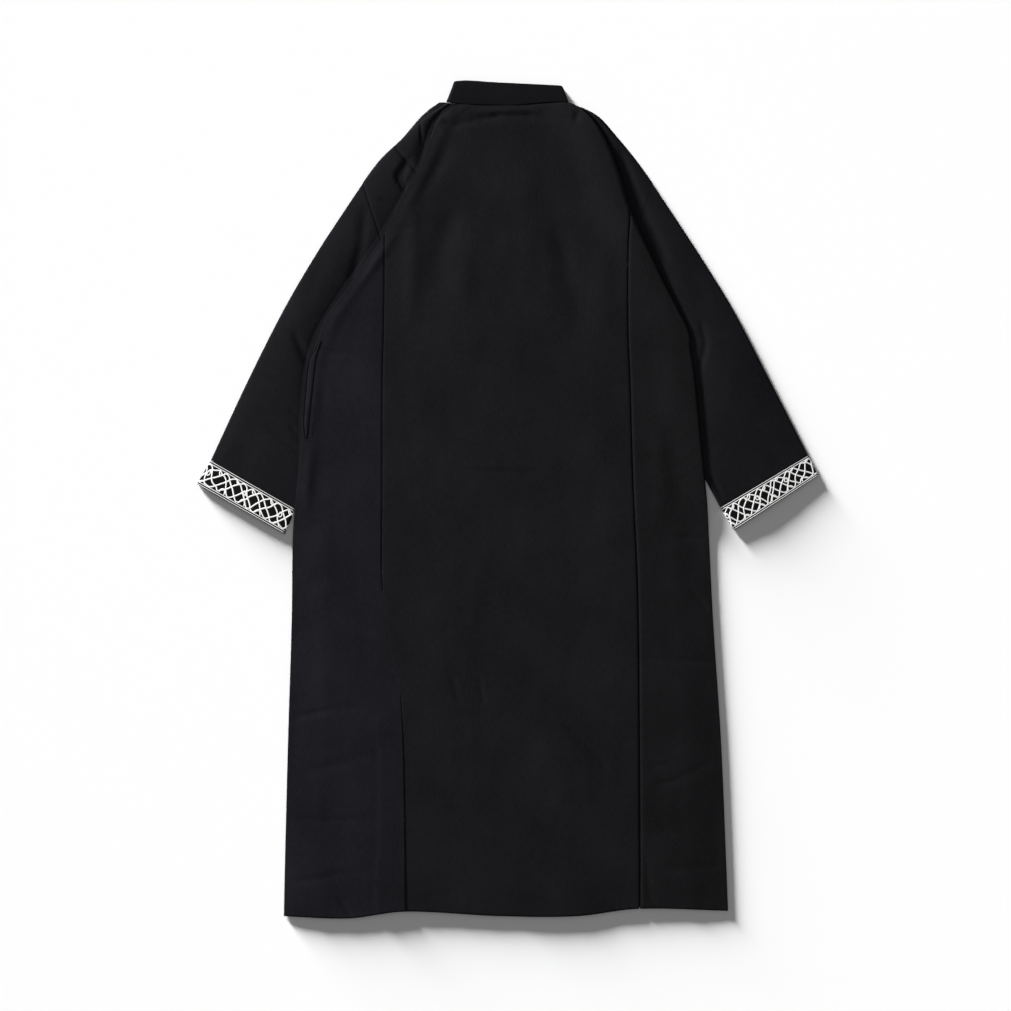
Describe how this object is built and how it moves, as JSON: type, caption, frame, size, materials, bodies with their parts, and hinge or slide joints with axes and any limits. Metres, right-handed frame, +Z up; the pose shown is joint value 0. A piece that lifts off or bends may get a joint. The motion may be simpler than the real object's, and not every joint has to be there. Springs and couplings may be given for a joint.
{
  "type": "jilbab",
  "caption": "Long black robe laid flat with its back up: stand collar, patterned cuff bands, and sleeves turned down beneath slanting folds of the back.",
  "frame": {"origin": "centre of the bounding box's lower side, on the surface that the robe lies on", "axes": "+Y along the robe towards the collar, +X across it to the right as seen from above, +Z up from the surface"},
  "size_m": [1.0246, 1.3806, 0.0109],
  "materials": {
    "black_cloth": "matt, fine plain weave with a soft sheen",
    "cuff_trim": "matt black ribbon with a raised white strapwork pattern"
  },
  "bodies": {
    "root": {"front": "black_cloth", "back_centre": "black_cloth", "side_left": "black_cloth", "side_right": "black_cloth", "pocket_left": "black_cloth", "collar": "black_cloth", "shoulder_left": "black_cloth", "sleeve_left": "black_cloth", "cuff_left": "cuff_trim", "shoulder_right": "black_cloth", "sleeve_right": "black_cloth", "cuff_right": "cuff_trim"}
  },
  "joints": []
}
